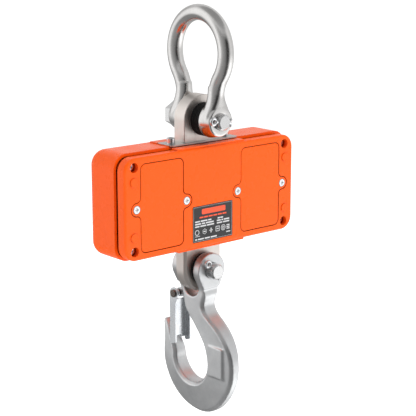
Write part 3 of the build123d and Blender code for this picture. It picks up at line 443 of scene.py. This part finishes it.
def keep(name, mesh, body, finish):
    """A new piece made of a mesh, riding on a body and finish."""
    mesh.materials.clear()
    mesh.materials.append(FINISHES[finish])
    piece = bpy.data.objects.new(name, mesh)
    bpy.context.scene.collection.objects.link(piece)
    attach(piece, body)
    return piece


def bridge(bm, ring_a, ring_b):
    """A band of faces between two rings of equal length."""
    for k in range(len(ring_a)):
        n = (k + 1) % len(ring_a)
        bm.faces.new((ring_a[k], ring_a[n], ring_b[n], ring_b[k]))


def loft_mesh(bm, rings):
    """A closed skin through rings of equal length, added to a bmesh."""
    made = [[bm.verts.new(spot) for spot in ring] for ring in rings]
    for ring_a, ring_b in zip(made, made[1:]):
        bridge(bm, ring_a, ring_b)
    bm.faces.new(list(reversed(made[0])))
    bm.faces.new(made[-1])


def superellipse(x_half, y_half, power, y, z):
    """A level ring round (0, y, z) with half-sizes in mm."""
    ring = []
    for k in range(FLARE_SIDES):
        turn = FULL_TURN * k / FLARE_SIDES
        c, s = math.cos(turn), math.sin(turn)
        ring.append((math.copysign(abs(c) ** (2 / power), c) * x_half * MM,
                     y + math.copysign(abs(s) ** (2 / power), s) * y_half * MM, z))
    return ring


def shackle_flares(bm):
    """The forged flare from each leg's round bar into its ear."""
    spacer_low, spacer_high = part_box("shackle_spacers")
    pin_z = (spacer_low.z + spacer_high.z) / 2
    middle = (spacer_low.y + spacer_high.y) / 2
    for side in (1, -1):
        loft_mesh(bm, [superellipse(x, y, power, middle + side * EAR_OFFSET, pin_z + z * MM)
                       for z, x, y, power in FLARE])


def forge(node, body, slot, rounds, extra=None):
    """A forging's skin: the solid re-meshed finely and relaxed, so that its edges and blends are soft."""
    mesh = NODES[node].data.copy()
    if extra:
        bm = bmesh.new()
        bm.from_mesh(mesh)
        extra(bm)
        bmesh.ops.recalc_face_normals(bm, faces=bm.faces)
        bm.to_mesh(mesh)
        bm.free()
    piece = keep(node + "_forging", mesh, body, slot)
    skin = piece.modifiers.new("skin", "REMESH")
    skin.mode = "VOXEL"
    skin.voxel_size = FORGING_VOXEL
    skin.use_smooth_shade = True
    relax = piece.modifiers.new("relax", "SMOOTH")
    relax.factor = 0.5
    relax.iterations = rounds
    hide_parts(node)


def bar_outline(x0, x1, z0, z1, corner):
    """A rounded rectangle's outline, counter-clockwise."""
    corner = min(corner, abs(x1 - x0) / 2, abs(z1 - z0) / 2)
    spots = []
    for cx, cz, start in ((x1 - corner, z1 - corner, 0), (x0 + corner, z1 - corner, 90),
                          (x0 + corner, z0 + corner, 180), (x1 - corner, z0 + corner, 270)):
        for k in range(CORNER_STEPS + 1):
            turn = math.radians(start + 90 * k / CORNER_STEPS)
            spots.append((cx + corner * math.cos(turn), cz + corner * math.sin(turn)))
    return spots


def ring_outline(cx, cz, radius, sides=RING_SIDES):
    turns = [FULL_TURN * (k + 0.5) / sides for k in range(sides)]
    return [(cx + radius * math.cos(turn), cz + radius * math.sin(turn)) for turn in turns]


def print_mesh(name, shapes, y, lift):
    """Thin raised marks. A shape is an outline, or an outline and the hole inside it, in x and z."""
    bm = bmesh.new()
    for shape in shapes:
        outer, hole = shape if isinstance(shape, tuple) else (shape, None)
        loops = []
        for outline in (outer, hole) if hole else (outer,):
            low = [bm.verts.new((x, y, z)) for x, z in outline]
            high = [bm.verts.new((x, y + lift, z)) for x, z in outline]
            count = len(outline)
            for k in range(count):
                bm.faces.new((low[k], low[(k + 1) % count], high[(k + 1) % count], high[k]))
            loops.append((low, high))
        if hole:
            for level in (0, 1):
                bridge(bm, loops[0][level], loops[1][level])
        else:
            for ring in loops[0]:
                bm.faces.new(ring)
    bmesh.ops.recalc_face_normals(bm, faces=bm.faces)
    mesh = bpy.data.meshes.new(name)
    bm.to_mesh(mesh)
    bm.free()
    return mesh


def label_print():
    """Plain bars and simple shapes where a rating label carries its print; nothing on it can be read.

    Places are shares of the label's width and height, from its left and its top as it is seen.
    """
    low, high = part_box("rating_label")
    width, height = high.x - low.x, high.z - low.z

    def spot(across, down):
        return high.x - width * across, high.z - height * down

    def bar(x0, x1, y0, y1, corner=0.0003):
        (right, top), (left, bottom) = spot(x0, y0), spot(x1, y1)
        return bar_outline(left, right, bottom, top, corner)

    def frame_of(x0, x1, y0, y1, edge):
        (right, top), (left, bottom) = spot(x0, y0), spot(x1, y1)
        return (bar_outline(left, right, bottom, top, 0.0004),
                bar_outline(left + edge, right - edge, bottom + edge, top - edge, 0.0002))

    def ring(x, y, radius, edge, sides=RING_SIDES):
        cx, cz = spot(x, y)
        return ring_outline(cx, cz, radius, sides), ring_outline(cx, cz, radius - edge, sides)

    warm = [bar(0.22, 0.82, 0.09, 0.24, 0.0012)]
    warm += [bar(0.16 + 0.117 * k, 0.26 + 0.117 * k, 0.30, 0.34) for k in range(6)]
    pale = []
    line_height = 0.038
    rows = ((0.405, ((0.05, 0.17), (0.19, 0.36), (0.38, 0.46), (0.62, 0.68), (0.69, 0.76))),
            (0.475, ((0.05, 0.20), (0.22, 0.30), (0.32, 0.52), (0.60, 0.70), (0.72, 0.76), (0.78, 0.92))),
            (0.545, ((0.05, 0.16), (0.18, 0.33), (0.35, 0.53), (0.60, 0.74), (0.76, 0.92))),
            (0.905, ((0.05, 0.10), (0.12, 0.27), (0.29, 0.42), (0.44, 0.60))))
    for down, words in rows:
        pale += [bar(a, b, down, down + line_height) for a, b in words]
    pale += [ring(0.10, 0.73, 0.0028, 0.0007), bar(0.05, 0.17, 0.83, 0.845)]
    pale += [ring(0.29, 0.73, 0.0029, 0.0005, 6), bar(0.26, 0.32, 0.715, 0.745)]
    pale += [bar(0.44, 0.465, 0.66, 0.80, 0.0006), bar(0.41, 0.495, 0.715, 0.745)]
    pale += [frame_of(0.57, 0.67, 0.65, 0.80, 0.0006), bar(0.595, 0.645, 0.71, 0.74)]
    pale += [ring(0.765, 0.725, 0.003, 0.0006), ring(0.765, 0.725, 0.0015, 0.0006)]
    pale += [bar(0.85, 0.93, top, top + 0.03) for top in (0.66, 0.71, 0.76)]
    pale.append(bar(0.84, 0.95, 0.85, 0.88))
    pale.append(frame_of(0.012, 0.988, 0.018, 0.982, 0.00022))
    prints = (("label_heading", warm, "print_orange"), ("label_marks", pale, "print_pale"))
    for name, shapes, finish in prints:
        keep(name, print_mesh(name, shapes, high.y, LABEL_LIFT), "scale_body", finish)


def key_marks():
    """A simple mark on each key: power, unit change, hold and zero."""
    for node in ("power_button", "unit_button", "hold_button", "zero_button"):
        low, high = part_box(node)
        cx, cz = (low.x + high.x) / 2, (low.z + high.z) / 2

        def bar(x0, x1, z0, z1):
            return bar_outline(cx + x0 * MM, cx + x1 * MM, cz + z0 * MM, cz + z1 * MM, 0.0004)

        def ring(radius, edge, wide=1.0):
            outlines = [ring_outline(0, 0, (radius - k * edge) * MM) for k in (0, 1)]
            return tuple([(cx + x * wide, cz + z) for x, z in outline] for outline in outlines)

        marks = {
            "power_button": [ring(3.2, 0.7), bar(-0.4, 0.4, 0.2, 4.3)],
            "unit_button": [bar(-3.4, 3.4, 0.9, 1.7), bar(-3.4, 3.4, -1.7, -0.9), bar(2.2, 3.4, 1.7, 3.0),
                            bar(-3.4, -2.2, -3.0, -1.7)],
            "hold_button": [bar(-2.4, -0.9, -3.2, 3.2), bar(0.9, 2.4, -3.2, 3.2)],
            "zero_button": [ring(3.4, 0.9, 0.68)],
        }[node]
        name = node + "_mark"
        keep(name, print_mesh(name, marks, low.y, -KEY_MARK_LIFT), node, "print_pale")


bpy.context.scene.view_settings.view_transform = "Standard"
make_camera()
make_floor()
make_world()
make_lights()
make_finishes()
dress_nodes()
forge("hook", "hook", "galvanised", rounds=12)
forge("shackle_bow", "shackle", "satin_stainless", rounds=16, extra=shackle_flares)
label_print()
key_marks()
